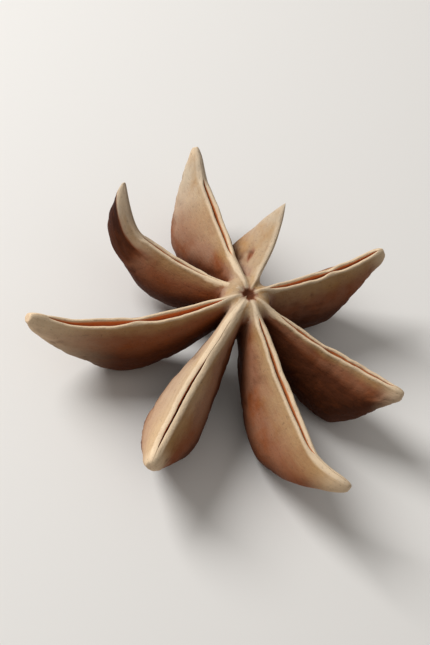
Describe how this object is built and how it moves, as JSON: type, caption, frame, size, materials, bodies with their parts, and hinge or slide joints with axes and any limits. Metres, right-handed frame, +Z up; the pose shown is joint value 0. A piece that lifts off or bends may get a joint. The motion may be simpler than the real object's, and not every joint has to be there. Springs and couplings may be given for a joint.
{
  "type": "star anise pod",
  "caption": "Dried star anise fruit: woody boat-shaped carpels with open upper seams and blunt beaks, fused round a short dimpled column.",
  "frame": {"origin": "centre of the bounding box in plan, on the ground that the keels rest on", "axes": "+Z up along the fruit's column, open seams upwards; -Y towards the longest group of carpels"},
  "size_m": [0.0316, 0.031, 0.011],
  "materials": {
    "husk": "dry matt husk, khaki tan with paler seam lips and darker, browner roots"
  },
  "bodies": {
    "root": {"pod": "husk"}
  },
  "joints": []
}
